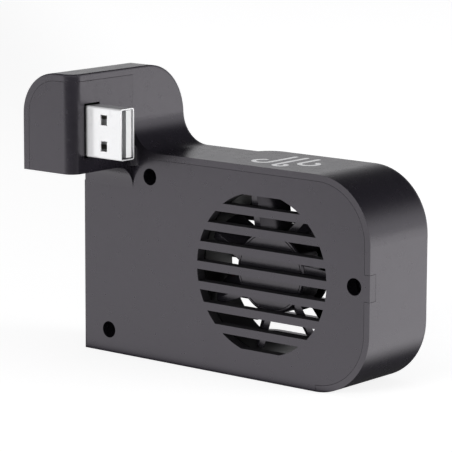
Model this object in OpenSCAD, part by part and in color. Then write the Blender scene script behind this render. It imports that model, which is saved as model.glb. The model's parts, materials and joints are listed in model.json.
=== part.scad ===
// Console cooling fan: a flat fan box with an arm that carries a USB plug.
// X runs right along the grille face, Y from the grille face to the rear, Z is up.
// The part's origin is where the fan's axis meets the grille face.
// Places below are measured from the box's lower left corner on that face.

/* [Box] */
// Width of the box
body_w = 85.5; // [83:0.5:110]
// Height of the box
body_h = 50; // [48:0.5:70]
// Depth of the box beside the fan bay
body_d = 18.5; // [17.5:0.5:30]
// Radius of the box's two right corners
end_r = 15; // [6:0.5:20]
// How much deeper the fan bay is than the rest of the box
bay_step = 3.5; // [2:0.5:10]
// How far the fan bay reaches left of the fan's axis
bay_reach = 16.1; // [14:0.1:18]
// Radius of the fan bay's left rear edge
bay_r = 5.5; // [4.5:0.5:8]
// Wall of the rear housing
wall = 2; // [1.6:0.1:2.2]
// Rim of the rear housing that shows above and right of the front cover
rim = 1.5; // [1:0.1:1.5]
// Thickness of the front cover
cover_t = 2.6; // [2:0.1:3]
// Gap round the front cover and its tab
fit_gap = 0.06; // [0.05:0.01:0.2]
// Height of the cover's tab in the right end
tab_h = 6.1; // [4:0.1:10]
// How far the tab reaches round the right end
tab_d = 2.2; // [1.5:0.1:2.5]
// Step in the cover's left edge under the arm
notch_w = 0.2; // [0.1:0.05:0.6]
// Height of that step
notch_h = 5.1; // [2:0.1:6]

/* [Arm] */
// Thickness of the arm
arm_w = 15.5; // [14:0.5:20]
// How far the arm reaches forward of the grille face
arm_reach = 21; // [19:0.5:30]
// Height of the arm above the box
arm_rise = 19.8; // [18:0.1:30]
// How far the arm's underside lies below the box's top
arm_drop = 3.5; // [2:0.1:6]
// Wall of the arm's front, right and bottom
arm_wall = 1.6; // [1.2:0.1:2]
// Wall of the arm's top and left
hood_t = 1.7; // [1.5:0.1:2]
// Radius of the arm's top left edge
arm_corner_r = 10; // [4:0.5:12]
// Radius of the arm's top rear edge
arm_back_r = 13; // [6:0.5:15]
// Radius of the arm's front right edge
arm_edge_r = 2.8; // [1:0.1:3.2]
// Fillet from the arm's side down to the box's top
neck_r = 7.7; // [4:0.1:10]
// Fillet under the arm
under_r = 5.5; // [3.5:0.1:6]
// Fillet from the arm's side to the grille face
root_r = 1.8; // [1.5:0.1:3.4]

/* [Grille] */
// Diameter of the round grille
grille_d = 38; // [30:0.5:39]
// Number of slots in the grille and in the outlet
slot_count = 8; // [4:1:8]
// Height of a slot
slot_h = 2.85; // [2:0.05:3.2]
// Distance from slot to slot
slot_pitch = 4.78; // [4:0.01:4.9]
// How far the outlet in the rear wall reaches left of the fan's axis
outlet_left = 26; // [20:0.5:27]
// How far the outlet reaches right of the fan's axis
outlet_right = 22; // [20:0.5:23]
// Radius of the outlet's corners
outlet_r = 8; // [2:0.5:9]

/* [Cover screws] */
// Diameter of the screw holes in the grille face
screw_hole_d = 4; // [3.5:0.05:4.2]
// Depth of those holes to the screw head's seat
screw_hole_depth = 5.2; // [4:0.1:6]
// Diameter of a screw head
screw_head_d = 3.3; // [2.8:0.1:3.4]
// Thickness of a screw head
screw_head_t = 1.3; // [0.8:0.1:1.6]
// Thread diameter of a screw
screw_d = 2; // [1.6:0.1:2.2]
// Length of a screw under its head
screw_len = 8; // [5:0.5:9]
// Neck screw, distance from the arm's side
neck_screw_side = 5.3; // [4:0.1:8]
// Neck screw, distance below the box's top
neck_screw_drop = 5.8; // [5.2:0.1:7]
// Corner screw, distance from the box's left side
corner_screw_x = 7.7; // [6:0.1:12]
// Corner screw, height
corner_screw_z = 5.5; // [5.2:0.1:8]
// End screw, distance from the box's right end
end_screw_in = 4.35; // [4.2:0.05:5]
// End screw and tab, height above the fan's axis
end_screw_up = 0.7; // [-3:0.1:3]

/* [Fan] */
// Distance of the fan's axis from the box's right end
fan_in = 31.1; // [30.5:0.1:31.5]
// Width and height of the fan frame
fan_size = 40; // [39:0.5:41]
// Thickness of the fan frame
fan_t = 10; // [9.9:0.1:11]
// Bore of the fan frame
fan_bore_d = 38; // [37:0.1:38.4]
// Distance between the fan frame's corner holes
fan_hole_pitch = 32; // [31.5:0.1:33]
// Diameter of the fan frame's corner holes
fan_hole_d = 3.5; // [3:0.1:3.8]
// Radius of the fan frame's corners
fan_corner_r = 3; // [1:0.1:4]
// Gap between the front cover and the fan frame
fan_gap = 0.4; // [0.3:0.1:0.8]
// Number of struts behind the motor
strut_count = 3; // [3:1:4]
// Width of a strut
strut_w = 2.4; // [2:0.1:3]
// Thickness of a strut
strut_t = 0.9; // [0.8:0.05:1]
// Diameter of the plate behind the motor
base_d = 20.4; // [18:0.1:22]
// Thickness of the plate behind the motor
base_t = 0.8; // [0.6:0.05:0.9]
// Thread diameter of a fan screw
fan_screw_d = 2.6; // [2:0.1:2.8]
// Head diameter of a fan screw
fan_screw_head_d = 5; // [4:0.1:5.4]
// Head thickness of a fan screw
fan_screw_head_t = 1.6; // [1:0.1:2]

/* [Rotor] */
// Diameter of the hub
hub_d = 19.5; // [19:0.1:21]
// How far the hub's face lies behind the frame's front
hub_recess = 0.5; // [0.3:0.1:0.6]
// Length of the hub
hub_len = 6.5; // [6.2:0.1:6.8]
// Side wall of the hub
hub_wall = 0.7; // [0.6:0.05:0.9]
// Face of the hub
hub_face_t = 1; // [0.8:0.1:1.1]
// Number of blades
blade_count = 7; // [5:1:9]
// Thickness of a blade
blade_t = 0.9; // [0.7:0.1:1.2]
// Length of a blade along the axis
blade_len = 6.2; // [5:0.1:6.3]
// Radius of a blade's curve
blade_curve_r = 11; // [9:0.5:20]
// Gap between the blade tips and the frame's bore
tip_gap = 0.7; // [0.5:0.1:1.5]
// Turn of the rotor at rest
rotor_turn = 47.5; // [0:0.5:51]
// Wall of the steel yoke in the hub
yoke_t = 0.5; // [0.4:0.05:0.6]
// Length of the yoke
yoke_len = 5.1; // [4.9:0.1:5.3]
// Radial thickness of the magnet ring
magnet_t = 0.95; // [0.8:0.05:1.1]
// Length of the magnet ring
magnet_len = 4; // [3.5:0.1:4.2]

/* [Motor] */
// Diameter of the shaft
shaft_d = 1.5; // [1.2:0.05:1.6]
// Diameter of the sleeve bearing
bearing_d = 4; // [3.6:0.1:4.2]
// Length of the sleeve bearing
bearing_len = 4.8; // [4.5:0.1:4.9]
// Radial clearance of the shaft in its bearing
run_gap = 0.02; // [0.01:0.01:0.06]
// Wall of the bearing tube
tube_wall = 0.9; // [0.8:0.05:1]
// Gap between the magnet and the stator's poles
air_gap = 0.5; // [0.4:0.05:0.7]
// Thickness of the stator's stack of sheets
core_t = 2; // [1.6:0.1:2.2]
// Width of a stator pole's arm
pole_w = 2.2; // [1.8:0.1:2.4]
// Thickness of the insulators on the stack
insulator_t = 0.4; // [0.3:0.05:0.5]
// Thickness of the winding on a pole
coil_t = 0.6; // [0.4:0.05:0.7]
// Diameter of the fan's board
fan_board_d = 17.6; // [16:0.1:18]
// Thickness of the fan's board
fan_board_t = 0.8; // [0.6:0.1:0.9]

/* [Plug] */
// Height of the plug's shell
plug_h = 12; // [11.5:0.1:12.4]
// Thickness of the plug's shell
plug_t = 4.5; // [4.2:0.1:4.8]
// How far the plug stands out of the arm
plug_out = 11; // [9:0.1:12.5]
// Length of the plug's shell
plug_len = 19; // [18.5:0.1:20.5]
// Sheet thickness of the shell
shell_t = 0.3; // [0.25:0.01:0.4]
// Thickness of the plug's tongue
tongue_t = 1.95; // [1.7:0.05:2.1]
// Distance of the plug's middle from the arm's front
plug_in = 6.7; // [5.5:0.1:8]
// Height of the plug's middle above the arm's underside
plug_up = 9.9; // [9:0.1:10.5]
// Clearance of the slot that the plug comes out of
plug_gap = 0.4; // [0.2:0.05:0.6]
// Thickness of the plug's board
usb_board_t = 1.2; // [0.8:0.1:1.6]

/* [Hidden] */
$fn = 64;

// Overlap that joins two shapes of one piece, and reach past a face when cutting it
embed = 0.4;
past = 1;
// Height of the small edge where a fillet runs out
fillet_edge = 0.04;
// Gap between pieces that slide together
slip = 0.05;
// Gap between pieces that turn past each other along the shaft
end_gap = 0.3;

// Box and arm
bay_d = body_d + bay_step;
arm_top = body_h + arm_rise;
arm_bottom = body_h - arm_drop;
arm_floor = arm_bottom + arm_wall;
seam = rim + fit_gap;
fan_x = body_w - fan_in;
fan_z = body_h / 2;
bay_x = fan_x - bay_reach;
end_screw_z = fan_z + end_screw_up;

// Cover screws: a hole in the cover's boss, a pilot hole in the housing's boss
cover_screw_points = [[arm_w + neck_screw_side, body_h - neck_screw_drop],
    [corner_screw_x, corner_screw_z], [body_w - end_screw_in, end_screw_z]];
screw_floor_t = 1.8;
cover_boss_y = screw_hole_depth + screw_floor_t;
cover_boss_r = screw_hole_d / 2 + 1;
screw_clear_r = screw_d / 2 + 0.2;
screw_pilot_r = screw_d / 2 + 0.02;
housing_boss_r = 2.6;
screw_pilot_depth = screw_len - screw_floor_t + 0.5;
cross_recess_w = 0.5;
cross_recess_share = 0.6;
cross_recess_depth = 0.7;

// Fan frame
fan_y0 = cover_t + fan_gap;
fan_y1 = fan_y0 + fan_t;
base_back = 0.1;
base_y1 = fan_y1 - base_back;
base_y0 = base_y1 - base_t;
strut_back = 0.2;
strut_y1 = fan_y1 - strut_back;
strut_y0 = strut_y1 - strut_t;
lead_strut_angle = 190;
lead_notch_w = 2.2;
lead_notch_d = 1.3;
lead_notch_y1 = strut_y0 + 0.1;
fan_screw_signs = [[-1, 1], [1, -1]];
fan_post_r = 3;
fan_screw_seat_y = fan_y0 + fan_screw_head_t + 0.2;
fan_screw_bite = 3;
fan_screw_pocket_r = fan_screw_head_d / 2 + 0.3;
fan_pilot_r = fan_screw_d / 2 + 0.02;
post_keepout = 0.8;

// Rotor, along the axis from the hub's face
hub_r = hub_d / 2;
hub_y0 = fan_y0 + hub_recess;
hub_y1 = hub_y0 + hub_len;
hub_chamfer = 0.35;
hub_groove_in = 0.75;
hub_groove_w = 0.15;
hub_groove_d = 0.2;
tip_r = fan_bore_d / 2 - tip_gap;
blade_y0 = hub_y0 + 0.5;
blade_pitch = 38;
yoke_r = hub_r - hub_wall - slip;
yoke_y0 = hub_y0 + hub_face_t;
yoke_y1 = yoke_y0 + yoke_len;
magnet_r = yoke_r - yoke_t - slip;
magnet_y1 = yoke_y1 - 0.2;
shaft_boss_r = 1.8;
shaft_boss_y = yoke_y0 + 1.2;
shaft_y0 = hub_y0 + hub_face_t / 2;

// Bearing and shaft end
tube_r = bearing_d / 2 + tube_wall;
tube_y0 = shaft_boss_y + end_gap;
washer_t = 0.5;
washer_y = tube_y0 + 0.1;
bearing_y0 = washer_y + washer_t;
bearing_y1 = bearing_y0 + bearing_len;
clip_t = 0.3;
clip_y = bearing_y1 + end_gap;
clip_r = 1.4;
clip_mouth_w = 0.8;
groove_r = shaft_d / 2 - 0.15;
shaft_y1 = clip_y + clip_t + 0.2;
cap_t = 0.4;

// Stator
core_r = magnet_r - magnet_t - air_gap;
core_mid_y = magnet_y1 - magnet_len / 2;
core_y0 = core_mid_y - core_t / 2;
core_y1 = core_mid_y + core_t / 2;
core_ring_r = tube_r + 0.8;
shoe_t = 0.9;
shoe_half_w = 4;
pole_count = 4;
coil_r0 = core_ring_r + 0.2;
coil_r1 = core_r - shoe_t - 0.5;
insulator_w = pole_w + 0.1;
pin_count = 3;
pin_radius = 5;
pin_r = 0.3;
pin_lobe_w = 1.2;
fan_board_y1 = base_y0;
fan_board_y0 = fan_board_y1 - fan_board_t;
chip_size = [2.9, 0.9, 1.5];
chip_radius = 5.6;

// Plug
plug_x1 = arm_w + plug_out;
plug_x0 = plug_x1 - plug_len;
plug_y = -arm_reach + plug_in;
plug_z = arm_bottom + plug_up;
shell_r = 0.5;
window = [2, 2.4];
window_from_tip = 5.35;
window_off = 3.05;
tongue_back = 0.5;
tongue_h = plug_h - 2 * shell_r;
tongue_y1 = plug_y + plug_t / 2 - shell_t;
tongue_y0 = tongue_y1 - tongue_t;
plug_base_x1 = arm_w - 1;
plug_base_y0 = plug_y - plug_t / 2 + shell_t + slip;
contact_t = 0.25;
contact_w = 1;
contact_tip = 1.2;
contact_offsets = [-3.5, -1, 1, 3.5];
tail_x = plug_x0 - 1.4;
usb_board_y0 = plug_y + plug_t / 2;
usb_board_y1 = usb_board_y0 + usb_board_t;
usb_board_x0 = hood_t + 1;
usb_board_x1 = arm_w - arm_wall - 0.6;
usb_board_h = plug_h + 2.4;
tail_gap = 0.1;
tail_end_y = usb_board_y1 + 0.2;
stake_x = usb_board_x0 + 1.6;
stake_off = 5.2;
stake_r = 0.7;
stake_post_r = 1.3;
stake_head = 0.5;

// Leads, from the plug's board through the arm and a notch in the fan frame to the fan's board
lead_r = 0.45;
lead_sides = 8;
lead_steps = 3;
lead_side_vector = [0.4, 0.5, 0.77];
lead_post_r = 0.9;
lead_post_y = 9;
lead_post_gap = 0.15;
lead_post_radius = 27;
// Half the distance between the two leads where they lie side by side
lead_apart = 0.58;
// Solder points on the plug's board, from its middle
lead_x = arm_w - 6.5;
lead_pad_off = 3.5;
lead_pad_run = 1.4;
// Depths on the way down into the box, the leads' height above the box's top and half their distance there
lead_depth = [0.5, 5, 7.5, 8.5];
lead_rise = [plug_z - body_h, 3.5, -1.7, -7];
lead_split = [2.1, 1, 0.7, 0];
// Bend towards the fan: depths, and shares of the way across and down
lead_bend_depth = [9.3, 10.2, 11];
lead_bend_across = [0.1, 0.42, 1];
lead_bend_down = [0.5, 0.86, 1];
lead_bend_radius = 31;
// Gaps of the leads to the strut and the fan's board that they lie on
lead_strut_gap = 0.05;
lead_board_gap = 0.025;
lead_strut_y = strut_y0 - lead_strut_gap - lead_r;
lead_board_y = fan_board_y0 - lead_board_gap - lead_r;
// Radii on the strut, at the step down to the board and on the board
lead_strut_radii = [lead_post_radius, fan_size / 2 + 2, fan_bore_d / 2 - 3, fan_bore_d / 2 - 7];
lead_step_radius = fan_board_d / 2 + 1.5;
lead_board_radii = [fan_board_d / 2 - 0.6, fan_board_d / 2 - 2.2];

function between(a, b, share) = a + (b - a) * share;

// Point at a radius on the lead's strut, off its middle line
function on_strut(radius, off, y) =
    [fan_x + radius * cos(lead_strut_angle) + off * sin(lead_strut_angle), y,
        fan_z + radius * sin(lead_strut_angle) - off * cos(lead_strut_angle)];

// From the plug's board to the rear of the arm and down into the box
function arm_run(side, x) =
    let (z = plug_z + side * lead_pad_off)
    concat([for (y = [usb_board_y1, usb_board_y1 + lead_pad_run, usb_board_y1 / 2]) [lead_x, y, z]],
        [for (i = [0:len(lead_depth) - 1]) [x, lead_depth[i], body_h + lead_rise[i] + side * lead_split[i]]]);

// From there across the box to the strut
function bend_run(x, start_z, goal) =
    [for (i = [0:len(lead_bend_depth) - 1])
        [between(x, goal[0], lead_bend_across[i]), lead_bend_depth[i],
            between(start_z, goal[2], lead_bend_down[i])]];

// Along the strut to the fan's board
function strut_run(off) =
    concat([for (r = lead_strut_radii) on_strut(r, off, lead_strut_y)],
        [on_strut(lead_step_radius, off, (lead_strut_y + lead_board_y) / 2)],
        [for (r = lead_board_radii) on_strut(r, off, lead_board_y)]);

// Route of a lead; side is 1 for the red one and -1 for the black one
function lead_route(side) =
    let (x = lead_x + (side - 1) * lead_apart, start_z = body_h + lead_rise[len(lead_rise) - 1],
        off = side * lead_apart)
    concat(arm_run(side, x), bend_run(x, start_z, on_strut(lead_bend_radius, off, 0)), strut_run(off));

lead_post_points = [for (side = [-1, 1])
    let (p = on_strut(lead_post_radius, side * (lead_apart + lead_r + lead_post_gap + lead_post_r), 0))
    [p[0], p[2]]];

shell_grey = [0.3, 0.29, 0.32];
rotor_grey = [0.2, 0.2, 0.22];
board_green = [0.1, 0.35, 0.2];

// Extrudes a drawing in X and Z from y0 to y1
module along_y(y0, y1) {
    translate([0, y1, 0]) rotate([90, 0, 0]) linear_extrude(y1 - y0) children();
}

// Extrudes a drawing in Y and Z from x0 to x1
module along_x(x0, x1) {
    translate([x0, 0, 0]) rotate([90, 0, 90]) linear_extrude(x1 - x0) children();
}

// Extrudes a drawing in X and Y from z0 to z1
module along_z(z0, z1) {
    translate([0, 0, z0]) linear_extrude(z1 - z0) children();
}

// Moves a piece from the box's lower left corner to the part's frame
module in_frame() {
    translate([-fan_x, 0, -fan_z]) children();
}

// Round bar along Y at a point in X and Z
module rod_y(r, y0, y1, at) {
    translate([at[0], y1, at[1]]) rotate([90, 0, 0]) cylinder(r = r, h = y1 - y0);
}

// Round tube along Y on the fan's axis
module fan_tube(r, bore_r, y0, y1) {
    along_y(y0, y1) translate([fan_x, fan_z]) difference() {
        circle(r);
        circle(bore_r);
    }
}

// Places a shape drawn round the Y axis on the fan's axis, turned by an angle
module on_fan(angle = 0) {
    translate([fan_x, 0, fan_z]) rotate([0, -angle, 0]) children();
}

// Fan corner hole at signs of X and Z
function fan_corner(signs) = [fan_x + signs[0] * fan_hole_pitch / 2, fan_z + signs[1] * fan_hole_pitch / 2];

// Inner face of the rear wall at a place along X
function rear_face(x) = (x > bay_x + bay_r ? bay_d : body_d) - wall;

// Outline of the box, drawn in by an inset
module box_outline(inset) {
    translate([inset, inset]) square([body_w - end_r - inset, body_h - 2 * inset]);
    translate([inset, end_r]) square([body_w - 2 * inset, body_h - 2 * end_r]);
    for (z = [end_r, body_h - end_r])
        translate([body_w - end_r, z]) circle(end_r - inset);
}

// Round at the arm's top left, drawn in by an inset
module arm_corner(inset) {
    r = arm_corner_r - inset;
    translate([arm_corner_r, arm_top - arm_corner_r]) intersection() {
        circle(r);
        translate([-r, 0]) square([r + embed, r]);
    }
}

// Outline of the arm's column, drawn in by an inset
module arm_outline(inset) {
    translate([inset, inset]) square([arm_w - 2 * inset, arm_top - arm_corner_r - inset]);
    translate([arm_corner_r, inset]) square([arm_w - arm_corner_r - inset, arm_top - 2 * inset]);
    arm_corner(inset);
}

// Fillet between the arm's side and the box's top, drawn in by an inset
module neck_outline(inset) {
    difference() {
        translate([arm_w - inset - embed, body_h - inset - embed])
            square([neck_r + inset + embed, neck_r + inset + embed]);
        translate([arm_w + neck_r, body_h + neck_r]) circle(neck_r + inset);
    }
}

// Outline of the whole shell, drawn in by an inset
module shell_outline(inset) {
    box_outline(inset);
    arm_outline(inset);
    neck_outline(inset);
}

// Plan of the fan bay in X and Y, drawn in by an inset
module bay_plan(inset) {
    translate([bay_x + bay_r, 0]) square([body_w - bay_x, bay_d - inset]);
    translate([bay_x + inset, 0]) square([bay_r, bay_d - bay_r]);
    translate([bay_x + bay_r, bay_d - bay_r]) circle(bay_r - inset);
}

// What the round on the arm's top rear edge takes away
module arm_back_cut(inset) {
    along_x(-past, arm_w + neck_r + past) difference() {
        translate([body_d - arm_back_r, arm_top - arm_back_r]) square(arm_back_r + past);
        translate([body_d - arm_back_r, arm_top - arm_back_r]) circle(arm_back_r - inset);
    }
}

// The shell's outer or inner shape from y0 to its rear wall, drawn in by an inset
module shell_body(inset, y0) {
    difference() {
        along_y(y0, body_d - inset) shell_outline(inset);
        arm_back_cut(inset);
    }
    intersection() {
        along_y(y0, bay_d - inset) box_outline(inset);
        along_z(0, body_h) bay_plan(inset);
    }
}

// Plan of the arm in X and Y, with its front right edge rounded
module arm_plan() {
    translate([0, -arm_reach + arm_edge_r]) square([arm_w, arm_reach - arm_edge_r + past]);
    translate([0, -arm_reach]) square([arm_w - arm_edge_r, arm_reach + past]);
    translate([arm_w - arm_edge_r, -arm_reach + arm_edge_r]) circle(arm_edge_r);
}

// Front of the arm inside its top and left wall, drawn in by an inset
module arm_front_outline(inset) {
    translate([inset, arm_bottom]) square([arm_w - inset, arm_top - arm_corner_r - arm_bottom]);
    translate([arm_corner_r, arm_bottom]) square([arm_w - arm_corner_r, arm_top - inset - arm_bottom]);
    arm_corner(inset);
}

// Top and left wall of the arm, seen from the front
module hood_outline(t) {
    difference() {
        arm_front_outline(0);
        arm_front_outline(t);
        translate([t, arm_bottom - past]) square([arm_w, 2 * past]);
        translate([arm_w - past, arm_bottom - past]) square([2 * past, arm_top - t - arm_bottom + past]);
    }
}

// Top and left wall of the arm, in front of the grille face
module arm_hood() {
    intersection() {
        along_y(-arm_reach, 0) hood_outline(hood_t);
        along_z(0, arm_top + past) arm_plan();
    }
    along_y(-embed, embed) hood_outline(rim);
}

// Level slots from left to right of the fan's axis, in X and Z
module slot_rows(left, right) {
    for (i = [0:slot_count - 1])
        translate([fan_x - left, fan_z + (i - (slot_count - 1) / 2) * slot_pitch - slot_h / 2])
            square([left + right, slot_h]);
}

// Field of the rear outlet, with round corners
module outlet_field() {
    half_h = grille_d / 2;
    translate([fan_x - outlet_left, fan_z - half_h + outlet_r])
        square([outlet_left + outlet_right, 2 * (half_h - outlet_r)]);
    translate([fan_x - outlet_left + outlet_r, fan_z - half_h])
        square([outlet_left + outlet_right - 2 * outlet_r, 2 * half_h]);
    for (x = [outlet_r - outlet_left, outlet_right - outlet_r], side = [-1, 1])
        translate([fan_x + x, fan_z + side * (half_h - outlet_r)]) circle(outlet_r);
}

module outlet_cut() {
    along_y(body_d - wall - past, bay_d + past) difference() {
        intersection() {
            slot_rows(outlet_left, outlet_right);
            outlet_field();
        }
        for (signs = fan_screw_signs)
            translate(fan_corner(signs)) circle(fan_post_r + post_keepout);
    }
}

// The cover's tab, or the notch that it lies in, with a gap round it
module end_tab(gap) {
    translate([body_w - rim - past, -embed, end_screw_z - tab_h / 2 - gap])
        cube([rim + 2 * past, tab_d + gap + embed, tab_h + 2 * gap]);
}

module rear_housing() {
    color(shell_grey) in_frame() difference() {
        union() {
            difference() {
                shell_body(0, 0);
                shell_body(wall, -past);
                along_y(-past, cover_t) shell_outline(rim);
                along_y(-past, cover_t + fit_gap) translate([-past, -past]) {
                    square([body_w - end_r + fit_gap + past, past + wall]);
                    square([past + wall, arm_bottom + past]);
                }
                outlet_cut();
            }
            arm_hood();
            for (p = cover_screw_points)
                rod_y(housing_boss_r, cover_boss_y, rear_face(p[0]) + embed, p);
            for (signs = fan_screw_signs)
                rod_y(fan_post_r, fan_y1, rear_face(fan_corner(signs)[0]) + embed, fan_corner(signs));
            for (p = lead_post_points)
                rod_y(lead_post_r, lead_post_y, rear_face(p[0]) + embed, p);
        }
        for (p = cover_screw_points)
            rod_y(screw_pilot_r, cover_boss_y - past, cover_boss_y + screw_pilot_depth, p);
        for (signs = fan_screw_signs)
            rod_y(fan_pilot_r, fan_y1 - past, fan_y1 + fan_screw_bite, fan_corner(signs));
        end_tab(fit_gap);
    }
}

// The cover's left and bottom edges, which lie in front of the housing's walls
module cover_edges() {
    square([body_w - end_r, seam + embed]);
    square([seam + embed, arm_bottom - fit_gap - notch_h]);
    translate([notch_w, 0]) square([seam + embed - notch_w, arm_bottom - fit_gap]);
}

module cover_plate() {
    along_y(0, cover_t) difference() {
        union() {
            shell_outline(seam);
            cover_edges();
        }
        translate([-past, arm_floor]) square([arm_w + past, arm_top]);
        translate([-past, arm_bottom - fit_gap]) square([past + hood_t + fit_gap, arm_top]);
    }
}

// Front, right and bottom walls of the arm
module cover_arm() {
    inset = hood_t + fit_gap;
    intersection() {
        difference() {
            along_y(-arm_reach, 0) arm_front_outline(inset);
            along_y(-arm_reach + arm_wall, past)
                translate([-past, arm_floor]) square([arm_w - arm_wall + past, arm_top]);
        }
        along_z(0, arm_top) arm_plan();
    }
    along_y(-embed, embed) translate([inset, arm_bottom]) square([arm_w - inset, arm_wall]);
}

// Fillets under the arm and from its side to the grille face, each rounded by a rod that is cut away
module arm_fillets() {
    difference() {
        along_x(hood_t + fit_gap, arm_w) translate([-under_r, arm_bottom - under_r])
            square(under_r + embed);
        along_x(0, arm_w + past)
            translate([-under_r - fillet_edge, arm_bottom - under_r - fillet_edge]) circle(under_r);
    }
    difference() {
        along_y(-root_r, embed) intersection() {
            shell_outline(seam);
            translate([arm_w - embed, arm_bottom]) square([root_r + embed, arm_rise]);
        }
        along_z(0, arm_top) translate([arm_w + root_r + fillet_edge, -root_r - fillet_edge]) circle(root_r);
    }
}

module front_cover() {
    color(shell_grey) in_frame() difference() {
        union() {
            cover_plate();
            cover_arm();
            arm_fillets();
            intersection() {
                end_tab(0);
                along_y(0, cover_t) box_outline(0);
            }
            intersection() {
                for (p = cover_screw_points)
                    rod_y(cover_boss_r, cover_t - embed, cover_boss_y, p);
                along_y(0, body_d) shell_outline(wall + fit_gap);
            }
            for (side = [-1, 1]) {
                p = [stake_x, plug_z + side * stake_off];
                rod_y(stake_post_r, -arm_reach + arm_wall - embed, usb_board_y0, p);
                rod_y(stake_r, usb_board_y0 - embed, usb_board_y1 + stake_head, p);
            }
        }
        along_y(-past, cover_t + past) intersection() {
            slot_rows(grille_d / 2, grille_d / 2);
            translate([fan_x, fan_z]) circle(d = grille_d);
        }
        for (p = cover_screw_points) {
            rod_y(screw_hole_d / 2, -past, screw_hole_depth, p);
            rod_y(screw_clear_r, 0, cover_boss_y + past, p);
        }
        translate([arm_w - arm_wall - past, plug_y - plug_t / 2 - plug_gap, plug_z - plug_h / 2 - plug_gap])
            cube([arm_wall + 2 * past, plug_t + 2 * plug_gap, plug_h + 2 * plug_gap]);
    }
}

// Screw along Y whose head's seat is at seat_y, with a cross recess in its head
module screw(head_r, head_t, r, len, seat_y, at) {
    difference() {
        union() {
            rod_y(head_r, seat_y - head_t, seat_y, at);
            rod_y(r, seat_y - embed, seat_y + len, at);
        }
        translate([at[0], seat_y - head_t, at[1]])
            for (turn = [0, 90])
                rotate([0, turn, 0])
                    cube([2 * head_r * cross_recess_share, 2 * cross_recess_depth, cross_recess_w],
                        center = true);
    }
}

module cover_screws() {
    color("silver") in_frame() for (p = cover_screw_points)
        screw(screw_head_d / 2, screw_head_t, screw_d / 2, screw_len, screw_hole_depth, p);
}

module fan_screws() {
    color("silver") in_frame() for (signs = fan_screw_signs)
        screw(fan_screw_head_d / 2, fan_screw_head_t, fan_screw_d / 2,
            fan_y1 + fan_screw_bite - fan_screw_seat_y - embed, fan_screw_seat_y, fan_corner(signs));
}

module fan_frame() {
    corner = fan_size / 2 - fan_corner_r;
    color([0.12, 0.12, 0.13]) in_frame() difference() {
        union() {
            difference() {
                along_y(fan_y0, fan_y1) translate([fan_x, fan_z]) {
                    square([fan_size, 2 * corner], center = true);
                    square([2 * corner, fan_size], center = true);
                    for (sx = [-1, 1], sz = [-1, 1])
                        translate([sx * corner, sz * corner]) circle(fan_corner_r);
                }
                rod_y(fan_bore_d / 2, fan_y0 - past, fan_y1 + past, [fan_x, fan_z]);
                for (sx = [-1, 1], sz = [-1, 1])
                    rod_y(fan_hole_d / 2, fan_y0 - past, fan_y1 + past, fan_corner([sx, sz]));
                for (signs = fan_screw_signs)
                    rod_y(fan_screw_pocket_r, fan_y0 - past, fan_screw_seat_y, fan_corner(signs));
                on_fan(lead_strut_angle)
                    translate([fan_bore_d / 2 - past, lead_notch_y1 - lead_notch_d, -lead_notch_w / 2])
                        cube([fan_size / 2, lead_notch_d, lead_notch_w]);
            }
            difference() {
                for (i = [0:strut_count - 1])
                    on_fan(lead_strut_angle + i * 360 / strut_count)
                        translate([0, strut_y0, -strut_w / 2])
                            cube([fan_bore_d / 2 + embed, strut_t, strut_w]);
                rod_y(fan_board_d / 2 + slip, strut_y0 - past, base_y0, [fan_x, fan_z]);
            }
            rod_y(base_d / 2, base_y0, base_y1, [fan_x, fan_z]);
            rod_y(tube_r, tube_y0, base_y0 + embed, [fan_x, fan_z]);
        }
        rod_y(bearing_d / 2, tube_y0 - past, fan_y1 + past, [fan_x, fan_z]);
    }
}

// Section of a blade in Y and the turning direction, curved about a centre behind its chord
module blade_section() {
    mid_y = blade_y0 + blade_len / 2;
    half_chord = blade_len / (2 * cos(blade_pitch));
    rise = sqrt(pow(blade_curve_r, 2) - pow(half_chord, 2));
    reach = blade_len * tan(blade_pitch) / 2 + blade_t;
    intersection() {
        translate([mid_y + rise * sin(blade_pitch), rise * cos(blade_pitch)]) difference() {
            circle(blade_curve_r + blade_t / 2);
            circle(blade_curve_r - blade_t / 2);
        }
        translate([blade_y0, -reach]) square([blade_len, 2 * reach]);
    }
}

module impeller() {
    blade_root_r = hub_r - hub_wall / 2;
    color(rotor_grey) in_frame() difference() {
        union() {
            difference() {
                rod_y(hub_r, hub_y0 + hub_chamfer, hub_y1, [fan_x, fan_z]);
                rod_y(hub_r - hub_wall, yoke_y0, hub_y1 + past, [fan_x, fan_z]);
            }
            translate([fan_x, hub_y0 + hub_chamfer, fan_z]) rotate([90, 0, 0])
                cylinder(r1 = hub_r, r2 = hub_r - hub_chamfer, h = hub_chamfer);
            rod_y(shaft_boss_r, yoke_y0 - embed, shaft_boss_y, [fan_x, fan_z]);
            intersection() {
                for (i = [0:blade_count - 1])
                    on_fan(rotor_turn + i * 360 / blade_count) along_x(hub_r / 2, fan_bore_d) blade_section();
                fan_tube(tip_r, blade_root_r, blade_y0, blade_y0 + blade_len);
            }
        }
        rod_y(shaft_d / 2, shaft_y0, shaft_boss_y + past, [fan_x, fan_z]);
        fan_tube(hub_r - hub_groove_in, hub_r - hub_groove_in - hub_groove_w, hub_y0 - past,
            hub_y0 + hub_groove_d);
    }
}

module rotor_yoke() {
    color("slategray") in_frame() {
        fan_tube(yoke_r, shaft_boss_r + slip, yoke_y0, yoke_y0 + yoke_t);
        fan_tube(yoke_r, yoke_r - yoke_t, yoke_y0, yoke_y1);
    }
}

module rotor_magnet() {
    color([0.25, 0.22, 0.2]) in_frame()
        fan_tube(magnet_r, magnet_r - magnet_t, magnet_y1 - magnet_len, magnet_y1);
}

module rotor_shaft() {
    color("lightsteelblue") in_frame() difference() {
        rod_y(shaft_d / 2, shaft_y0, shaft_y1, [fan_x, fan_z]);
        fan_tube(shaft_d, groove_r, clip_y - slip, clip_y + clip_t + slip);
    }
}

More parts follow.
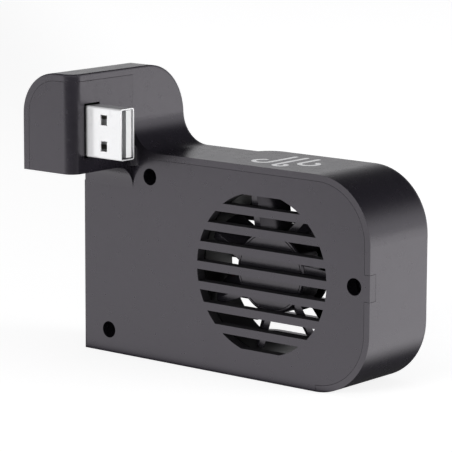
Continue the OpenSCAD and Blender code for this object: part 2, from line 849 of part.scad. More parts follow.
module retaining_clip() {
    color("ivory") in_frame() difference() {
        fan_tube(clip_r, groove_r, clip_y, clip_y + clip_t);
        translate([fan_x, clip_y - past, fan_z - clip_mouth_w / 2])
            cube([clip_r + past, clip_t + 2 * past, clip_mouth_w]);
    }
}

module sleeve_bearing() {
    color("goldenrod") in_frame() fan_tube(bearing_d / 2, shaft_d / 2 + run_gap, bearing_y0, bearing_y1);
}

module oil_washer() {
    color("ivory") in_frame() fan_tube(bearing_d / 2, shaft_d / 2 + end_gap, washer_y, bearing_y0);
}

module bearing_cap() {
    color("black") in_frame() rod_y(bearing_d / 2, base_y1 - cap_t, base_y1, [fan_x, fan_z]);
}

// Plan of the stator's arms in X and Z, with shoes of a radius
module stator_plan(arm_width, r) {
    translate([fan_x, fan_z]) difference() {
        union() {
            circle(core_ring_r);
            for (i = [0:pole_count - 1])
                rotate(i * 360 / pole_count) {
                    translate([0, -arm_width / 2]) square([r - shoe_t / 2, arm_width]);
                    intersection() {
                        difference() {
                            circle(r);
                            circle(core_r - shoe_t);
                        }
                        translate([0, -shoe_half_w]) square([core_r, 2 * shoe_half_w]);
                    }
                }
        }
        circle(tube_r + slip);
    }
}

module stator_core() {
    color("gray") in_frame() along_y(core_y0, core_y1) stator_plan(pole_w, core_r);
}

module insulator_front() {
    color("ivory") in_frame() along_y(core_y0 - insulator_t, core_y0) stator_plan(insulator_w, core_r - slip);
}

module insulator_rear() {
    color("ivory") in_frame() along_y(core_y1, core_y1 + insulator_t) {
        stator_plan(insulator_w, core_r - slip);
        translate([fan_x, fan_z]) for (i = [0:pin_count - 1])
            rotate((i + 0.5) * 360 / pole_count)
                translate([core_ring_r - embed, -pin_lobe_w / 2])
                    square([pin_radius + pin_lobe_w / 2 - core_ring_r + embed, pin_lobe_w]);
    }
}

// One winding round each pole, outside the insulated stack
module stator_windings() {
    y0 = core_y0 - insulator_t;
    y1 = core_y1 + insulator_t;
    w = insulator_w / 2 + slip;
    color("peru") in_frame() for (i = [0:pole_count - 1])
        on_fan(i * 360 / pole_count) difference() {
            translate([coil_r0, y0 - coil_t, -w - coil_t])
                cube([coil_r1 - coil_r0, y1 - y0 + 2 * coil_t, 2 * (w + coil_t)]);
            translate([0, y0, -w]) cube([core_r, y1 - y0, 2 * w]);
        }
}

module winding_pins() {
    color("gold") in_frame() for (i = [0:pin_count - 1])
        on_fan((i + 0.5) * 360 / pole_count)
            rod_y(pin_r, core_y1 + insulator_t, fan_board_y1, [pin_radius, 0]);
}

module fan_board() {
    color(board_green) in_frame() difference() {
        fan_tube(fan_board_d / 2, tube_r + slip, fan_board_y0, fan_board_y1);
        for (i = [0:pin_count - 1])
            on_fan((i + 0.5) * 360 / pole_count)
                rod_y(pin_r + slip, fan_board_y0 - past, fan_board_y1 + past, [pin_radius, 0]);
    }
}

module driver_chip() {
    color("black") in_frame() on_fan(-90)
        translate([chip_radius - chip_size[2] / 2, fan_board_y0 - chip_size[1], -chip_size[0] / 2])
            cube([chip_size[2], chip_size[1], chip_size[0]]);
}

// Section of the plug in Y and Z with round edges
module plug_section(t, h, r) {
    translate([plug_y, plug_z]) {
        square([t - 2 * r, h], center = true);
        square([t, h - 2 * r], center = true);
        for (sy = [-1, 1], sz = [-1, 1])
            translate([sy * (t / 2 - r), sz * (h / 2 - r)]) circle(r);
    }
}

module usb_shell() {
    color("gainsboro") in_frame() difference() {
        along_x(plug_x0, plug_x1) difference() {
            plug_section(plug_t, plug_h, shell_r);
            plug_section(plug_t - 2 * shell_t, plug_h - 2 * shell_t, shell_r - shell_t);
        }
        for (side = [-1, 1])
            translate([plug_x1 - window_from_tip - window[0] / 2, plug_y - plug_t,
                    plug_z + side * window_off - window[1] / 2])
                cube([window[0], 2 * plug_t, window[1]]);
    }
}

// Strips of the plug's contacts with their tails, widened by a gap
module contact_strips(gap) {
    for (offset_z = contact_offsets) {
        z = plug_z + offset_z - contact_w / 2 - gap;
        w = contact_w + 2 * gap;
        translate([tail_x, tongue_y0 - contact_t, z])
            cube([plug_x1 - tongue_back - contact_tip - tail_x, contact_t, w]);
        translate([tail_x - gap, tongue_y0 - contact_t, z])
            cube([contact_t + 2 * gap, tail_end_y - tongue_y0 + contact_t, w]);
    }
}

module usb_insulator() {
    color("white") in_frame() difference() {
        union() {
            translate([plug_x0, tongue_y0, plug_z - tongue_h / 2])
                cube([plug_x1 - tongue_back - plug_x0, tongue_t, tongue_h]);
            translate([plug_x0, plug_base_y0, plug_z - tongue_h / 2])
                cube([plug_base_x1 - plug_x0, tongue_y1 - plug_base_y0, tongue_h]);
        }
        contact_strips(0);
    }
}

module usb_contacts() {
    color("gold") in_frame() contact_strips(0);
}

module usb_board() {
    color(board_green) in_frame() difference() {
        translate([usb_board_x0, usb_board_y0, plug_z - usb_board_h / 2])
            cube([usb_board_x1 - usb_board_x0, usb_board_t, usb_board_h]);
        contact_strips(tail_gap);
        for (side = [-1, 1])
            rod_y(stake_r + slip, usb_board_y0 - past, usb_board_y1 + past,
                [stake_x, plug_z + side * stake_off]);
    }
}

function unit(v) = v / norm(v);

// Point on a smooth curve through p1 and p2, with p0 and p3 on either side
function curve_point(p0, p1, p2, p3, t) =
    0.5 * (2 * p1 + t * (p2 - p0) + t * t * (2 * p0 - 5 * p1 + 4 * p2 - p3)
        + t * t * t * (3 * p1 - p0 - 3 * p2 + p3));

function smooth(p, steps) = concat(
    [for (i = [0:len(p) - 2], s = [0:steps - 1])
        curve_point(p[max(i - 1, 0)], p[i], p[i + 1], p[min(i + 2, len(p) - 1)], s / steps)],
    [p[len(p) - 1]]);

function heading(p, i) = unit(p[min(i + 1, len(p) - 1)] - p[max(i - 1, 0)]);

function ring(centre, along, r, sides) =
    let (a = unit(cross(along, lead_side_vector)), b = cross(along, a))
    [for (k = [0:sides - 1]) centre + r * (cos(360 * k / sides) * a + sin(360 * k / sides) * b)];

// Tube swept along points
module swept_tube(p, r, sides) {
    points = [for (i = [0:len(p) - 1]) each ring(p[i], heading(p, i), r, sides)];
    last = (len(p) - 1) * sides;
    walls = [for (i = [0:len(p) - 2], k = [0:sides - 1])
        let (a = i * sides + k, b = i * sides + (k + 1) % sides)
        each [[a, a + sides, b], [b, a + sides, b + sides]]];
    start_cap = [for (k = [1:sides - 2]) [0, k, k + 1]];
    end_cap = [for (k = [1:sides - 2]) [last, last + k + 1, last + k]];
    polyhedron(points, concat(walls, start_cap, end_cap));
}

module red_lead() {
    color("firebrick") in_frame() swept_tube(smooth(lead_route(1), lead_steps), lead_r, lead_sides);
}

module black_lead() {
    color([0.08, 0.08, 0.08]) in_frame() swept_tube(smooth(lead_route(-1), lead_steps), lead_r, lead_sides);
}

rear_housing();
front_cover();
cover_screws();
fan_frame();
fan_screws();
impeller();
rotor_yoke();
rotor_magnet();
rotor_shaft();
retaining_clip();
sleeve_bearing();
oil_washer();
bearing_cap();
stator_core();
insulator_front();
insulator_rear();
stator_windings();
winding_pins();
fan_board();
driver_chip();
usb_shell();
usb_insulator();
usb_contacts();
usb_board();
red_lead();
black_lead();
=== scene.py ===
"""Looks for a console cooling fan: a flat fan box with an arm that carries a USB plug."""
import json
import math

import bmesh
import bpy
from mathutils import Matrix, Vector


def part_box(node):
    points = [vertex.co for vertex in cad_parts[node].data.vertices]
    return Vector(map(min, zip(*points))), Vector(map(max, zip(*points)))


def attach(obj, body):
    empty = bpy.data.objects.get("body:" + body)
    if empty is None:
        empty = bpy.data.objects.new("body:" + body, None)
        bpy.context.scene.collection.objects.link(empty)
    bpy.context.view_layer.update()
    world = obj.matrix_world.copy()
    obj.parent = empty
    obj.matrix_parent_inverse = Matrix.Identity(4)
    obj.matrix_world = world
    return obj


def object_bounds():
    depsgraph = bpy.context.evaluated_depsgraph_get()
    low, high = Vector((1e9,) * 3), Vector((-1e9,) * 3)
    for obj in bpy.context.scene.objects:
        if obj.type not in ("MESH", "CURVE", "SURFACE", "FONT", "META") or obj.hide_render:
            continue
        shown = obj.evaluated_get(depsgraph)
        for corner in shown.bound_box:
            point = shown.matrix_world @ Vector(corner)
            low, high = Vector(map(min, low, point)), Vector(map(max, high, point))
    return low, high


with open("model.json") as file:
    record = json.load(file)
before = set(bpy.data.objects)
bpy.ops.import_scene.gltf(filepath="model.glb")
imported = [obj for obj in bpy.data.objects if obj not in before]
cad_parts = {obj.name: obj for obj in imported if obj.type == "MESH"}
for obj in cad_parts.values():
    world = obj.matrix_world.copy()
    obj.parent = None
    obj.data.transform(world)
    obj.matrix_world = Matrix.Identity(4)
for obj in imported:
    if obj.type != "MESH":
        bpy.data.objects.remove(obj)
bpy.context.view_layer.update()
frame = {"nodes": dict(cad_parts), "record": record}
nodes = frame["nodes"]
scene = bpy.context.scene
scene.view_settings.view_transform = "Standard"
MM = 0.001

# Camera, fitted to the photograph's edges
CAMERA_AZIMUTH = math.radians(39.381)
CAMERA_ELEVATION = math.radians(10.235)
CAMERA_ROLL = math.radians(0.223)
CAMERA_DISTANCE = 617.3 * MM
CAMERA_TARGET = Vector((-10.282, 0, 10.164)) * MM
CAMERA_LENS = 212.7
CAMERA_SENSOR = 36
CAMERA_CLIP_START = 0.01

# Edge rounds of the moulded pieces: at seams and slots, along the shell's outer edges, and on small pieces
SEAM_EDGE = 0.06 * MM
OUTER_EDGE = 0.8 * MM
SMALL_EDGE = 0.1 * MM
EDGE_SAMPLES = 8
# Bands beside the shell's outer edges in mm: the axis, where the band begins and where it is full
OUTER_BANDS = [("X", -53.4, -53.8), ("Y", 4, 6), ("Z", 43.4, 43.9), ("Z", -24.0, -24.4)]
# How alike the rounded and the flat normal are where an edge is fully worn, and where its wear begins
FULLY_WORN = 0.75
NOT_WORN = 0.97

# Inside of the plug's sheet, painted shade and wavy painted reflections: low and high corner in mm
PLUG_INSIDE = ((-46, -16.28, 25.68), (-20, -12.32, 37.12))
# Walls of the grille's slots, made matte and dark with painted shade: low and high corner in mm
SLOT_WALLS = ((-20.5, 0.1, -20.5), (20.5, 4, 20.5))
# How softly such a box ends, in mm to each side of its faces
BOX_EDGE = 0.04
# Where the plug leaves the arm, with painted shade in the corner, and where it is clear of it, in mm
PLUG_ROOT = -38.9
PLUG_CLEAR = -38.2
# Painted shade in the slot walls: its colour, and their roughness
SLOT_PAINTED_SHADE = (0.004, 0.004, 0.005)
MATTE_ROUGH = 0.95
# Painted shade and painted reflection colours of the plug's steel
PAINTED_SHADE_STEEL = (0.04, 0.04, 0.043)
PAINTED_REFLECTION_STEEL = (0.5, 0.5, 0.52)

# Noise patterns: scale per metre, and detail
CLOUDS = (90, 2)
SPECKS = (2600, 2)
GLOSS_PATCHES = (400, 3)
GRAIN = (9000, 2)
DULL_SPOTS = (500, 3)
PAINTED_REFLECTION_WAVES = (160, 0)
STREAK_DETAIL = 4
NOISE_ROUGHNESS = 0.55
# Middle part of a noise's range, which is spread over its whole effect
NOISE_LOW = 0.3
NOISE_HIGH = 0.7

# Plastic: clouds and specks against its colour, the most that specks show, the gloss's swing, the grain
CLOUD_DARK = 0.94
CLOUD_LIGHT = 1.05
SPECK_LIGHT = 1.5
SPECK_SHARE = 0.06
GLOSS_SWING = 0.02
GRAIN_STRENGTH = 0.35
GRAIN_DEPTH = 0.0015

# Metal: streaks and dull spots against its colour, where spots begin and are full, and the most they show
STREAK_DARK = 0.9
SPOT_DARK = 0.6
SPOT_START = 0.6
SPOT_FULL = 0.75
SPOT_SHARE = 0.25
# How much smoother and rougher the streaks make it, and how strongly they stand out
STREAK_SMOOTHER = 0.05
STREAK_ROUGHER = 0.08
STREAK_STRENGTH = 0.3
# Waves of painted reflection inside the plug's sheet: long across it, and where they begin and are full
WAVE_STRETCH = (0.1, 0.1, 1)
WAVE_START = 0.4
WAVE_FULL = 0.6


def calculate(tree, operation, first, *others):
    """Takes values together two at a time, each of them a number or another node's output."""
    for other in others:
        node = tree.nodes.new("ShaderNodeMath")
        node.operation = operation
        for socket, value in zip(node.inputs, (first, other)):
            if isinstance(value, (int, float)):
                socket.default_value = value
            else:
                tree.links.new(value, socket)
        first = node.outputs[0]
    return first


class Shader:
    """A material made of nodes, built one node at a time."""

    def __init__(self, name):
        self.material = bpy.data.materials.new(name)
        self.material.use_nodes = True
        self.tree = self.material.node_tree
        self.bsdf = self.tree.nodes["Principled BSDF"]
        self.place = self.add("ShaderNodeTexCoord").outputs["Object"]

    def add(self, kind, inputs=None, **settings):
        """A new node with its settings, and with inputs that are values or other nodes' outputs."""
        node = self.tree.nodes.new(kind)
        for key, value in settings.items():
            setattr(node, key, value)
        for key, value in (inputs or {}).items():
            if isinstance(value, bpy.types.NodeSocket):
                self.link(value, node.inputs[key])
            else:
                node.inputs[key].default_value = value
        return node

    def link(self, source, target):
        self.tree.links.new(source, target)

    def set(self, **values):
        for key, value in values.items():
            self.bsdf.inputs[key.replace("_", " ")].default_value = value

    def noise(self, scale, detail, place=None):
        inputs = {"Scale": scale, "Detail": detail, "Roughness": NOISE_ROUGHNESS,
                  "Vector": place or self.place}
        return self.add("ShaderNodeTexNoise", inputs).outputs["Fac"]

    def stretched(self, factors):
        return self.add("ShaderNodeMapping", {"Scale": factors, "Vector": self.place}).outputs["Vector"]

    def spread(self, value, low, high, start=NOISE_LOW, end=NOISE_HIGH):
        """Goes from low to high while a value goes from start to end."""
        inputs = {"From Min": start, "From Max": end, "To Min": low, "To Max": high, "Value": value}
        return self.add("ShaderNodeMapRange", inputs).outputs["Result"]

    def mix(self, factor, first, second):
        node = self.add("ShaderNodeMix", data_type="RGBA")
        for socket, value in (("A", first), ("B", second)):
            target = [s for s in node.inputs if s.name == socket and s.type == "RGBA"][0]
            if isinstance(value, tuple):
                target.default_value = (*value, 1)
            else:
                self.link(value, target)
        self.link(factor, node.inputs["Factor"])
        return [s for s in node.outputs if s.type == "RGBA"][0]

    def bump(self, height, strength, distance, under=None):
        inputs = {"Strength": strength, "Distance": distance, "Height": height}
        if under:
            inputs["Normal"] = under
        self.link(self.add("ShaderNodeBump", inputs).outputs["Normal"], self.bsdf.inputs["Normal"])

    def axis(self, name):
        return self.add("ShaderNodeSeparateXYZ", {0: self.place}).outputs[name]

    def soft_edges(self, radius, outer=None):
        """Normal turned as on rounded edges, with a larger round in the bands along the outer edges."""
        width = radius
        if outer:
            bands = [self.spread(self.axis(axis), radius, outer, start * MM, end * MM)
                     for axis, start, end in OUTER_BANDS]
            width = calculate(self.tree, "MAXIMUM", *bands)
        return self.add("ShaderNodeBevel", {"Radius": width}, samples=EDGE_SAMPLES).outputs["Normal"]

    def within(self, low, high):
        """One between two corners of a box in mm, and nothing outside it."""
        steps = []
        for axis, start, end in zip("XYZ", low, high):
            for face, inward in ((start, BOX_EDGE), (end, -BOX_EDGE)):
                start_to_end = ((face - inward) * MM, (face + inward) * MM)
                steps.append(self.spread(self.axis(axis), 0, 1, *start_to_end))
        return calculate(self.tree, "MULTIPLY", *steps)

    def worn_edges(self, rounded):
        """One where the rounded normal has turned from the flat one, as on an edge."""
        flat = self.add("ShaderNodeNewGeometry").outputs["True Normal"]
        turned = self.add("ShaderNodeVectorMath", {0: rounded, 1: flat}, operation="DOT_PRODUCT")
        return self.spread(turned.outputs["Value"], 1, 0, FULLY_WORN, NOT_WORN)


def shade(colour, share):
    return tuple(share * c for c in colour)


def moulded_plastic(name, colour, worn, rough, specular=0.5, ior=1.5, edge=SMALL_EDGE, outer=None,
                    sheen_tint=(1, 1, 1), matte=None):
    """Plastic with a fine grain, uneven colour and gloss and paler edges, matte painted shade in a given box.
    """
    s = Shader(name)
    s.set(Specular_IOR_Level=specular, IOR=ior, Specular_Tint=(*sheen_tint, 1))
    rounded = s.soft_edges(edge, outer)
    base = s.mix(s.spread(s.noise(*CLOUDS), 0, 1), shade(colour, CLOUD_DARK), shade(colour, CLOUD_LIGHT))
    base = s.mix(s.spread(s.noise(*SPECKS), 0, SPECK_SHARE), base, shade(colour, SPECK_LIGHT))
    base = s.mix(s.worn_edges(rounded), base, worn)
    gloss = s.spread(s.noise(*GLOSS_PATCHES), rough - GLOSS_SWING, rough + GLOSS_SWING)
    if matte:
        # Painted shade: inside the box the plastic turns near black and rough
        inside = s.within(*matte)
        base = s.mix(inside, base, SLOT_PAINTED_SHADE)
        gloss = calculate(s.tree, "MAXIMUM", gloss, s.spread(inside, 0, MATTE_ROUGH, 0, 1))
    s.link(base, s.bsdf.inputs["Base Color"])
    s.link(gloss, s.bsdf.inputs["Roughness"])
    s.bump(s.noise(*GRAIN), GRAIN_STRENGTH, GRAIN_DEPTH * MM, rounded)
    return s.material


def metal(name, colour, rough, streaks=(1, 1, 1), scale=900, depth=0.003, metallic=1.0, inside=None):
    """Metal with fine streaks, uneven gloss and small dull spots, and painted shade and reflections in a
    given box.
    """
    s = Shader(name)
    s.set(Metallic=metallic)
    streak = s.noise(scale, STREAK_DETAIL, s.stretched(streaks))
    base = s.mix(s.spread(streak, 0, 1), shade(colour, STREAK_DARK), colour)
    spots = s.spread(s.noise(*DULL_SPOTS), 0, SPOT_SHARE, SPOT_START, SPOT_FULL)
    base = s.mix(spots, base, shade(colour, SPOT_DARK))
    if inside:
        # Painted shade inside the sheet, with waves of painted reflection
        wave = s.spread(s.noise(*PAINTED_REFLECTION_WAVES, s.stretched(WAVE_STRETCH)), 0, 1, WAVE_START, WAVE_FULL)
        base = s.mix(s.within(*inside), base, s.mix(wave, PAINTED_SHADE_STEEL, PAINTED_REFLECTION_STEEL))
        # Painted shade where the plug leaves the arm
        base = s.mix(s.spread(s.axis("X"), 1, 0, PLUG_ROOT * MM, PLUG_CLEAR * MM), base, PAINTED_SHADE_STEEL)
    s.link(base, s.bsdf.inputs["Base Color"])
    s.link(s.spread(streak, rough - STREAK_SMOOTHER, rough + STREAK_ROUGHER), s.bsdf.inputs["Roughness"])
    s.bump(streak, STREAK_STRENGTH, depth * MM)
    return s.material


def make_materials():
    """The record's material slots, and two finishes of the scene's own, for the cover and the mark."""
    made = {}
    glossy = {"ior": 1.65, "sheen_tint": (0.98, 0.93, 1.0)}
    graphite = {"colour": (0.013, 0.0115, 0.016), "worn": (0.018, 0.016, 0.022), "rough": 0.26,
                "edge": SEAM_EDGE, "outer": OUTER_EDGE, **glossy}
    made["shell"] = moulded_plastic("graphite_plastic", specular=0.9, **graphite)
    # The cover's own finish: painted shade in the walls of the grille's slots
    made["cover"] = moulded_plastic("graphite_cover", specular=0.85, matte=SLOT_WALLS, **graphite)
    # Fan and rotor: black plastic set darker than its own colour, as painted shade inside the box
    made["fan_plastic"] = moulded_plastic("black_plastic", (0.003, 0.003, 0.0035), (0.006, 0.006, 0.0065),
                                          rough=0.4)
    made["rotor_plastic"] = moulded_plastic("rotor_plastic", (0.006, 0.0055, 0.007), (0.012, 0.011, 0.013),
                                            rough=0.22, specular=0.86, **glossy)
    made["screw_steel"] = metal("black_steel", (0.06, 0.06, 0.065), rough=0.4, streaks=(1, 3, 1))
    made["core_steel"] = metal("sheet_steel", (0.2, 0.2, 0.21), rough=0.45, streaks=(1, 30, 1))
    made["magnet"] = moulded_plastic("bonded_ferrite", (0.03, 0.027, 0.025), (0.05, 0.046, 0.042), rough=0.6)
    made["nylon"] = moulded_plastic("natural_nylon", (0.7, 0.68, 0.6), (0.78, 0.76, 0.7), rough=0.4)
    made["bronze"] = metal("oiled_bronze", (0.5, 0.32, 0.13), rough=0.4)
    made["copper"] = metal("enamelled_copper", (0.55, 0.22, 0.09), rough=0.25, streaks=(1, 14, 1), scale=3000,
                           depth=0.03)
    made["board"] = moulded_plastic("solder_mask", (0.02, 0.11, 0.045), (0.2, 0.18, 0.1), rough=0.3)
    made["chip"] = moulded_plastic("epoxy", (0.012, 0.012, 0.012), (0.03, 0.03, 0.03), rough=0.5)
    made["plug_steel"] = metal("nickel_sheet", (0.97, 0.97, 0.98), rough=0.14, streaks=(2, 1, 14),
                               metallic=0.35, inside=PLUG_INSIDE)
    made["foil"] = metal("silver_foil", (0.97, 0.97, 0.98), rough=0.12, metallic=0.8)
    made["plug_plastic"] = moulded_plastic("white_plastic", (0.92, 0.92, 0.92), (0.94, 0.94, 0.94), rough=0.4)
    # Contacts: a pale gold, darkened as painted shade where they show through the plug's windows
    made["contact_gold"] = metal("dull_shaded_gold", (0.42, 0.4, 0.36), rough=0.35, streaks=(14, 1, 1))
    made["lead_red"] = moulded_plastic("red_vinyl", (0.09, 0.006, 0.006), (0.12, 0.01, 0.01), rough=0.45)
    made["lead_black"] = moulded_plastic("black_vinyl", (0.012, 0.012, 0.012), (0.03, 0.03, 0.03), rough=0.45)
    return made


materials = make_materials()
for part in frame["record"]["subparts"]:
    mesh = nodes[part["node"]].data
    mesh.materials.clear()
    finish = "cover" if part["node"] == "front_cover" else part["material_slot"]
    mesh.materials.append(materials[finish])


def add_camera():
    sin_a, cos_a = math.sin(CAMERA_AZIMUTH), math.cos(CAMERA_AZIMUTH)
    sin_e, cos_e = math.sin(CAMERA_ELEVATION), math.cos(CAMERA_ELEVATION)
    back = Vector((sin_a * cos_e, -cos_a * cos_e, sin_e))
    right = Vector((cos_a, sin_a, 0))
    up = back.cross(right)
    turned_right = math.cos(CAMERA_ROLL) * right + math.sin(CAMERA_ROLL) * up
    turned_up = math.cos(CAMERA_ROLL) * up - math.sin(CAMERA_ROLL) * right
    data = bpy.data.cameras.new("camera")
    data.lens = CAMERA_LENS
    data.sensor_width = CAMERA_SENSOR
    data.clip_start = CAMERA_CLIP_START
    camera = bpy.data.objects.new("camera", data)
    axes = Matrix((turned_right, turned_up, back)).transposed().to_4x4()
    camera.matrix_world = Matrix.Translation(CAMERA_TARGET + back * CAMERA_DISTANCE) @ axes
    scene.collection.objects.link(camera)
    scene.camera = camera


add_camera()

# Printed airflow mark on the box's top: three streams that end in a curl, in mm from the fan's axis
MARK_REAR = 17.0
MARK_HALF_WIDTH = 0.6
MARK_THICK = 0.03
MARK_SUNK = 0.01
MARK_ARC_STEPS = 20
MARK_CAP_STEPS = 8
MARK_CURL = math.radians(250)
# Each stream's x, the y where its curl begins, the curl's radius and the side that it curls to
MARK_STREAMS = [(-3.2, 7.5, 2.2, -1), (0.0, 5.2, 1.4, 1), (3.4, 10.6, 2.2, 1)]


def stream_path(x, turn_y, radius, side):
    """Straight run from the rear, then an arc that curls back."""
    points = [Vector((x, MARK_REAR)), Vector((x, turn_y))]
    centre = Vector((x + side * radius, turn_y))
    for i in range(1, MARK_ARC_STEPS + 1):
        angle = MARK_CURL * i / MARK_ARC_STEPS
        points.append(centre + radius * Vector((-side * math.cos(angle), -math.sin(angle))))
    return points


def half_turn(centre, along, across):
    """Points round a stroke's end, from its across side to the other."""
    turns = [math.pi * i / MARK_CAP_STEPS for i in range(1, MARK_CAP_STEPS)]
    return [centre + MARK_HALF_WIDTH * (math.cos(t) * across + math.sin(t) * along) for t in turns]


def stroke_outline(points):
    """Closed outline of a stroke of even width with round ends."""
    left, right, ways = [], [], []
    for i, point in enumerate(points):
        along = (points[min(i + 1, len(points) - 1)] - points[max(i - 1, 0)]).normalized()
        across = Vector((-along.y, along.x))
        ways.append((along, across))
        left.append(point + MARK_HALF_WIDTH * across)
        right.append(point - MARK_HALF_WIDTH * across)
    first_along, first_across = ways[0]
    front = half_turn(points[-1], *ways[-1])
    rear = half_turn(points[0], -first_along, -first_across)
    return left + front + right[::-1] + rear


def add_mark():
    """The streams as one thin printed layer on the top, as far above the axis as the floor is below."""
    top = -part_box("rear_housing")[0].z
    build = bmesh.new()
    for stream in MARK_STREAMS:
        outline = stroke_outline(stream_path(*stream))
        ring = [build.verts.new((p.x * MM, p.y * MM, top - MARK_SUNK * MM)) for p in outline]
        face = build.faces.new(ring)
        raised = bmesh.ops.extrude_face_region(build, geom=[face])["geom"]
        lifted = [v for v in raised if isinstance(v, bmesh.types.BMVert)]
        bmesh.ops.translate(build, verts=lifted, vec=(0, 0, (MARK_THICK + MARK_SUNK) * MM))
    bmesh.ops.recalc_face_normals(build, faces=build.faces)
    mesh = bpy.data.meshes.new("airflow_mark")
    build.to_mesh(mesh)
    build.free()
    mesh.materials.append(materials["foil"])
    mark = bpy.data.objects.new("airflow_mark", mesh)
    scene.collection.objects.link(mark)
    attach(mark, "box")


add_mark()

FLOOR_HALF = 4.0
FLOOR_ROUGH = 0.9
# The floor's light to the camera, low enough that the object's shadow shows
FLOOR_GLOW = 0.8
# The floor's light in gloss: around the box, close by it, and the shares left far behind and far in front
FRONT_GLOW = 0.6
CLOSE_GLOW = 0.04
FAR_SHARE = 0.78
NEAR_SHARE = 0.85
# The floor's grey in front and behind, its share far aside, and the painted shadow that gloss sees under the
# box
FRONT_GREY = 0.5
REAR_GREY = 0.8
SIDE_SHARE = 0.1
UNDER_PAINTED_SHADOW = 0.9

# Level directions on the floor: where the box's right end reflects to, and towards the camera's right
AWAY = (0.62, 0.76, 0)
ASIDE = (0.71, -0.71, 0)
REARWARD = (0, 1, 0)
RIGHTWARD = (1, 0, 0)

# Where the floor changes, in metres from the fan's axis. Rearward: from light in front to dark close by, back
# to light behind, and where the right end's light and the dark under the box begin
FRONT_TO_CLOSE = (-0.006, 0)
CLOSE_TO_REAR = (0.035, 0.06)
END_BEGINS = (-0.004, 0.006)
UNDER_BEGINS = (-0.004, 0.002)
# Rightward: back to light on the left, out from under the right end's lower round, and aside of the right end
CLOSE_TO_LEFT = (-0.06, -0.08)
ROUND_FOOT = (0.0285, 0.041)
END_ASIDE = (0.03, 0.08)
# Aside: into the dark by the right end, into the dark everywhere, and to the darker grey
ASIDE_BY_END = (0.012, 0.09)
ASIDE_ANYWHERE = (0.04, 0.16)
ASIDE_GREY = (0.06, 0.2)
# Away: up to full light from the front, to the grey behind, and down again far behind
NEAR_TO_FULL = (-0.4, -0.2)
FRONT_TO_REAR_GREY = (0, 0.1)
FULL_TO_FAR = (0.25, 0.33)


def ramp_along(tree, direction, span, low, high):
    """Goes smoothly from low to high between two distances along a level direction, in metres."""
    place = tree.nodes.new("ShaderNodeNewGeometry")
    along = tree.nodes.new("ShaderNodeVectorMath")
    along.operation = "DOT_PRODUCT"
    along.inputs[1].default_value = direction
    tree.links.new(place.outputs["Position"], along.inputs[0])
    node = tree.nodes.new("ShaderNodeMapRange")
    node.interpolation_type = "SMOOTHSTEP"
    for socket, value in zip(("From Min", "From Max", "To Min", "To Max"), (*span, low, high)):
        node.inputs[socket].default_value = value
    tree.links.new(along.outputs["Value"], node.inputs["Value"])
    return node.outputs["Result"]


def floor_glow(tree, path):
    """Near white to the camera; in gloss bright by the right end, dimmer around, dark close by and aside."""
    around = calculate(tree, "MAXIMUM",
                       ramp_along(tree, REARWARD, FRONT_TO_CLOSE, FRONT_GLOW, CLOSE_GLOW),
                       ramp_along(tree, REARWARD, CLOSE_TO_REAR, CLOSE_GLOW, FRONT_GLOW),
                       ramp_along(tree, RIGHTWARD, CLOSE_TO_LEFT, CLOSE_GLOW, FRONT_GLOW))
    by_end = calculate(tree, "MULTIPLY",
                       ramp_along(tree, RIGHTWARD, ROUND_FOOT, 0, 1),
                       ramp_along(tree, REARWARD, END_BEGINS, 0, 1))
    aside = calculate(tree, "MULTIPLY",
                      ramp_along(tree, ASIDE, ASIDE_BY_END, 0, 1),
                      ramp_along(tree, RIGHTWARD, END_ASIDE, 0, 1))
    aside = calculate(tree, "MAXIMUM", aside, ramp_along(tree, ASIDE, ASIDE_ANYWHERE, 0, 1))
    gloss = calculate(tree, "MULTIPLY",
                      calculate(tree, "MAXIMUM", around, by_end),
                      ramp_along(tree, AWAY, FULL_TO_FAR, 1, FAR_SHARE),
                      ramp_along(tree, AWAY, NEAR_TO_FULL, NEAR_SHARE, 1),
                      calculate(tree, "SUBTRACT", 1, aside),
                      path["Is Glossy Ray"])
    seen = calculate(tree, "MAXIMUM", path["Is Camera Ray"], path["Is Transmission Ray"])
    return calculate(tree, "MAXIMUM", calculate(tree, "MULTIPLY", seen, FLOOR_GLOW), gloss)


def floor_grey(tree, path):
    """Lighter behind than in front and darker far aside, and in gloss darker under the box as painted shadow.
    """
    # Painted shadow under the box, seen only in gloss
    under = calculate(tree, "MULTIPLY",
                      ramp_along(tree, RIGHTWARD, ROUND_FOOT, UNDER_PAINTED_SHADOW, 0),
                      ramp_along(tree, REARWARD, UNDER_BEGINS, 0, 1),
                      path["Is Glossy Ray"])
    return calculate(tree, "MULTIPLY",
                     ramp_along(tree, AWAY, FRONT_TO_REAR_GREY, FRONT_GREY, REAR_GREY),
                     ramp_along(tree, ASIDE, ASIDE_GREY, 1, SIDE_SHARE),
                     calculate(tree, "SUBTRACT", 1, under))


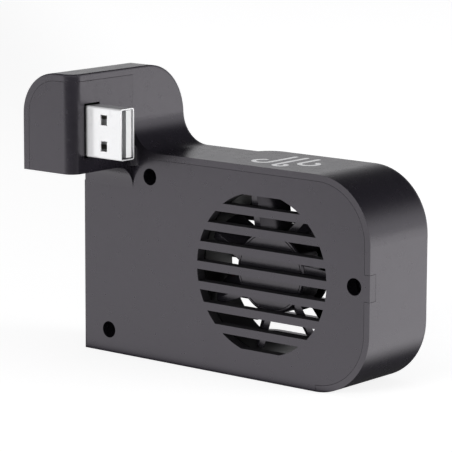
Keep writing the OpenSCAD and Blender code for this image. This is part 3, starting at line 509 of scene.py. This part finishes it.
def add_floor():
    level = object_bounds()[0][2]
    mesh = bpy.data.meshes.new("floor")
    corners = [(-1, -1), (1, -1), (1, 1), (-1, 1)]
    mesh.from_pydata([(x * FLOOR_HALF, y * FLOOR_HALF, level) for x, y in corners], [], [(0, 1, 2, 3)])
    floor = bpy.data.objects.new("floor", mesh)
    scene.collection.objects.link(floor)
    material = bpy.data.materials.new("pale_floor")
    material.use_nodes = True
    tree = material.node_tree
    path = tree.nodes.new("ShaderNodeLightPath").outputs
    bsdf = tree.nodes["Principled BSDF"]
    tree.links.new(floor_grey(tree, path), bsdf.inputs["Base Color"])
    bsdf.inputs["Roughness"].default_value = FLOOR_ROUGH
    bsdf.inputs["Specular IOR Level"].default_value = 0
    bsdf.inputs["Emission Color"].default_value = (1, 1, 1, 1)
    tree.links.new(floor_glow(tree, path), bsdf.inputs["Emission Strength"])
    mesh.materials.append(material)


add_floor()

# The room's light by height, from 0 at the horizon to 1 overhead: place and colour
ROOM_LOW = (0.12, (0.7, 0.7, 0.71, 1))
ROOM_OVERHEAD = (1.0, (0.4, 0.4, 0.41, 1))
# The dim band between them: its two ends, and its colour
ROOM_DIM_ENDS = (0.53, 0.75)
ROOM_DIM = (0.015, 0.015, 0.016, 1)


def add_world():
    """A room that is pale up to a little above the horizon, dim above that and paler straight overhead."""
    world = bpy.data.worlds.new("studio")
    scene.world = world
    world.use_nodes = True
    tree = world.node_tree
    background = tree.nodes["Background"]
    place = tree.nodes.new("ShaderNodeTexCoord")
    split = tree.nodes.new("ShaderNodeSeparateXYZ")
    tree.links.new(place.outputs["Generated"], split.inputs[0])
    ramp = tree.nodes.new("ShaderNodeValToRGB")
    ramp.color_ramp.interpolation = "EASE"
    low, high = ramp.color_ramp.elements
    low.position, low.color = ROOM_LOW
    high.position, high.color = ROOM_OVERHEAD
    for position in ROOM_DIM_ENDS:
        ramp.color_ramp.elements.new(position).color = ROOM_DIM
    tree.links.new(split.outputs["Z"], ramp.inputs["Fac"])
    tree.links.new(ramp.outputs["Color"], background.inputs["Color"])
    background.inputs["Strength"].default_value = 1


add_world()

# Lamps, aimed at the fan's axis: name, place and size in metres, and power in watts
LAMPS = [("front_lamp", (-0.2, -1.0, 0.15), (0.6, 0.4), 10),
         ("right_lamp", (0.95, 0.3, 0.1), (0.6, 0.3), 9)]


def add_lamp(name, place, size, power):
    """A soft lamp that doesn't show in gloss."""
    data = bpy.data.lights.new(name, "AREA")
    data.shape = "RECTANGLE"
    data.size, data.size_y = size
    data.energy = power
    lamp = bpy.data.objects.new(name, data)
    lamp.location = place
    lamp.rotation_euler = (-Vector(place)).to_track_quat("-Z", "Y").to_euler()
    lamp.visible_glossy = False
    scene.collection.objects.link(lamp)


for lamp_values in LAMPS:
    add_lamp(*lamp_values)
